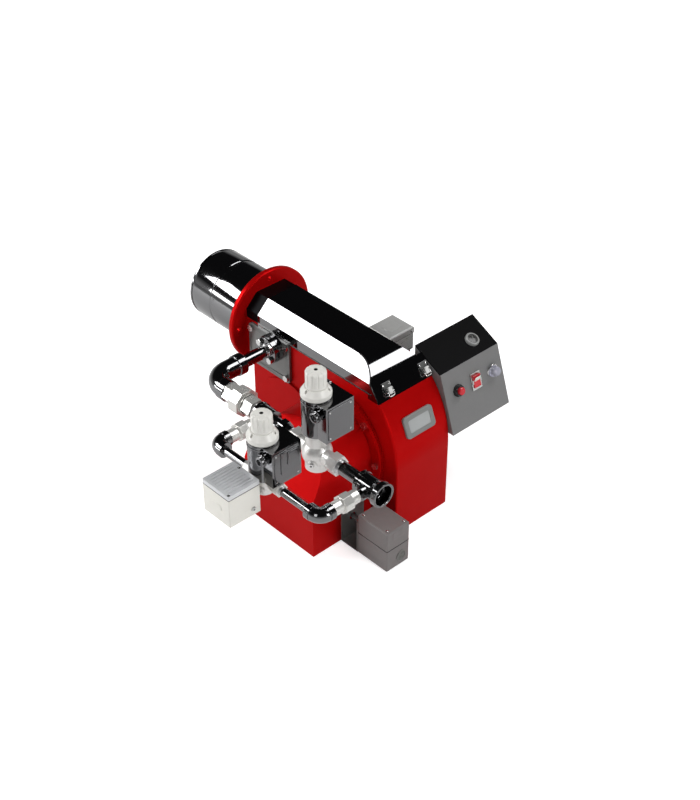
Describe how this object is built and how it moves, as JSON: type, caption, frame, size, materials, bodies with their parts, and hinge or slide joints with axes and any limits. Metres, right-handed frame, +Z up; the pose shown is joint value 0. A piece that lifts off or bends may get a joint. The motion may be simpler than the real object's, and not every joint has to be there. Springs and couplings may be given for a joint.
{
  "type": "gas burner",
  "caption": "Forced-draught gas burner: red fan housing with black hood, flanged flame tube, side control box, and a looped gas line with solenoid valves.",
  "frame": {"origin": "centre of the mounting flange's boiler-side face", "axes": "+Y along the burner axis into the boiler, +Z up, +X toward the control box side"},
  "size_m": [0.727, 0.758, 0.4644],
  "materials": {
    "red_paint": "glossy red enamel",
    "black_gloss": "mirror-gloss black",
    "dark_chrome": "dark polished metal",
    "black_pipe": "gloss black",
    "cast_silver": "satin die-cast",
    "fitting_white": "satin plated",
    "grey_metal": "satin grey",
    "servo_grey": "fine satin",
    "cream_plastic": "satin cream",
    "ribbed_grey": "satin",
    "box_grey": "satin",
    "zinc": "bright zinc",
    "steel": "ground",
    "heat_steel": "heat-resistant steel",
    "aluminium": "as cast",
    "motor_paint": "satin dark grey",
    "coil_black": "gloss black",
    "cap_cream": "satin",
    "glass": "clear",
    "bezel_grey": "satin",
    "lens_clear": "clear moulded",
    "button_black": "gloss",
    "button_red": "gloss",
    "porcelain": "glazed",
    "panel_grey": "satin grey",
    "transformer_black": "moulded"
  },
  "bodies": {
    "burner": {"scroll_housing": "red_paint", "intake_box": "red_paint", "fan_inlet_ring": "aluminium", "motor_frame": "motor_paint", "motor_cowl": "motor_paint", "servo_bracket": "grey_metal", "servo_base": "servo_grey", "servo_cover": "servo_grey", "sight_frame": "bezel_grey", "sight_pane": "glass", "boiler_flange": "red_paint", "flame_tube": "dark_chrome", "gas_lance": "steel", "diffuser_disc": "heat_steel", "electrode_clamp": "steel", "electrode_insulators": "porcelain", "electrode_wires": "heat_steel", "gas_plate": "grey_metal", "gas_flanges": "black_pipe", "main_elbow": "black_pipe", "union_ends": "fitting_white", "union_nut": "fitting_white", "line_pipes": "black_pipe", "line_tees": "black_pipe", "inlet_collar": "black_pipe", "valve1_body": "cast_silver", "valve1_coil": "coil_black", "valve1_collar": "fitting_white", "valve2_body": "cast_silver", "valve2_coil": "coil_black", "valve2_collar": "fitting_white", "bypass_elbows": "black_pipe", "bypass_unions": "fitting_white", "bypass_pipes": "black_pipe", "gas_switch_box": "cream_plastic", "gas_switch_lid": "ribbed_grey", "air_switch_box": "box_grey", "air_switch_lid": "box_grey", "control_case": "panel_grey", "panel_lower": "panel_grey", "panel_upper": "black_gloss", "reset_base": "button_black", "rocker_bezel": "bezel_grey", "run_lamp": "lens_clear", "gauge_bezel": "zinc", "gauge_glass": "glass", "ignition_transformer": "transformer_black", "hex_screws": "zinc"},
    "fan": {"fan_impeller": "zinc", "motor_shaft": "steel"},
    "damper": {"damper_spindle": "steel", "damper_blade": "zinc"},
    "cover": {"top_cover": "black_gloss", "latch_plates": "grey_metal"},
    "hook_left": {"latch_hook_left": "zinc"},
    "hook_right": {"latch_hook_right": "zinc"},
    "cap_1": {"valve1_cap": "cap_cream"},
    "cap_2": {"valve2_cap": "cap_cream"},
    "reset": {"reset_button": "button_red"},
    "rocker": {"rocker_key": "button_red"}
  },
  "joints": [
    {"name": "fan_spin", "type": "hinge", "parent": "burner", "child": "fan", "pos_m": [0.079, -0.294, -0.13], "axis": [1, 0, 0], "continuous": true},
    {"name": "damper_turn", "type": "hinge", "parent": "burner", "child": "damper", "pos_m": [-0.129, -0.294, -0.233], "axis": [0, 1, 0], "range_deg": [0, 90]},
    {"name": "cover_lift", "type": "slide", "parent": "burner", "child": "cover", "axis": [0, 0, 1], "range_m": [0, 0.12]},
    {"name": "hook_left_turn", "type": "hinge", "parent": "cover", "child": "hook_left", "pos_m": [-0.033, -0.39781, 0.02798], "axis": [1, 0, 0], "range_deg": [-60, 0]},
    {"name": "hook_right_turn", "type": "hinge", "parent": "cover", "child": "hook_right", "pos_m": [0.066, -0.39781, 0.02798], "axis": [1, 0, 0], "range_deg": [-60, 0]},
    {"name": "cap_1_turn", "type": "hinge", "parent": "burner", "child": "cap_1", "pos_m": [-0.238, -0.4175, 0.16], "axis": [0, 0, 1], "range_deg": [-150, 150]},
    {"name": "cap_2_turn", "type": "hinge", "parent": "burner", "child": "cap_2", "pos_m": [-0.36, -0.411, 0.122], "axis": [0, 0, 1], "range_deg": [-150, 150]},
    {"name": "reset_press", "type": "slide", "parent": "burner", "child": "reset", "axis": [0, 0.9479, -0.3185], "range_m": [0, 0.003], "stiffness_N_per_m": 600},
    {"name": "rocker_tilt", "type": "hinge", "parent": "burner", "child": "rocker", "pos_m": [0.165, -0.44228, -0.02535], "axis": [1, 0, 0], "range_deg": [-8, 8]}
  ]
}
